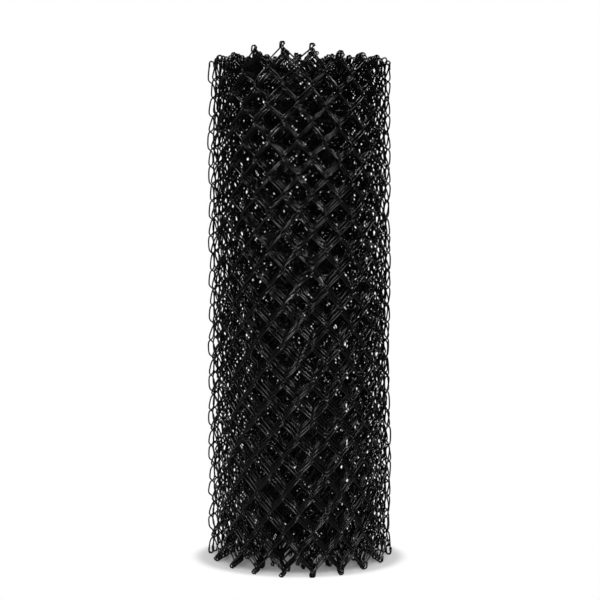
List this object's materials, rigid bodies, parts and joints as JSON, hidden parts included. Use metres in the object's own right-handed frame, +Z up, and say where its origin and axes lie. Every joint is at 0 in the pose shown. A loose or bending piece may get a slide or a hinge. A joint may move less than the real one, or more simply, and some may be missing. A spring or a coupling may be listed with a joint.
{
  "type": "chain link fence fabric roll",
  "caption": "Roll of chain link fence fabric in black coated wire, standing on end, woven from hooked zigzag pickets.",
  "frame": {"origin": "middle of the roll's footprint on the floor, under its knuckled lower ends", "axes": "+Z up along the roll and its pickets; +X and +Y span the floor; the fabric's free outer edge is on the -X side"},
  "size_m": [0.4574, 0.4536, 1.2195],
  "materials": {
    "coated_wire": "semi-gloss"
  },
  "bodies": {
    "root": {"inner_turn_1": "coated_wire", "inner_turn_2": "coated_wire", "inner_turn_3": "coated_wire", "picket_01": "coated_wire", "picket_02": "coated_wire", "picket_03": "coated_wire", "picket_04": "coated_wire", "picket_05": "coated_wire", "picket_06": "coated_wire", "picket_07": "coated_wire", "picket_08": "coated_wire", "picket_09": "coated_wire", "picket_10": "coated_wire", "picket_11": "coated_wire", "picket_12": "coated_wire", "picket_13": "coated_wire", "picket_14": "coated_wire", "picket_15": "coated_wire", "picket_16": "coated_wire", "picket_17": "coated_wire", "picket_18": "coated_wire", "picket_19": "coated_wire", "picket_20": "coated_wire", "picket_21": "coated_wire", "picket_22": "coated_wire", "picket_23": "coated_wire", "picket_24": "coated_wire", "picket_25": "coated_wire", "picket_26": "coated_wire", "picket_27": "coated_wire", "picket_28": "coated_wire", "picket_29": "coated_wire", "picket_30": "coated_wire", "picket_31": "coated_wire", "picket_32": "coated_wire", "picket_33": "coated_wire", "picket_34": "coated_wire", "picket_35": "coated_wire", "picket_36": "coated_wire", "picket_37": "coated_wire", "picket_38": "coated_wire", "picket_39": "coated_wire", "picket_40": "coated_wire"}
  },
  "joints": []
}
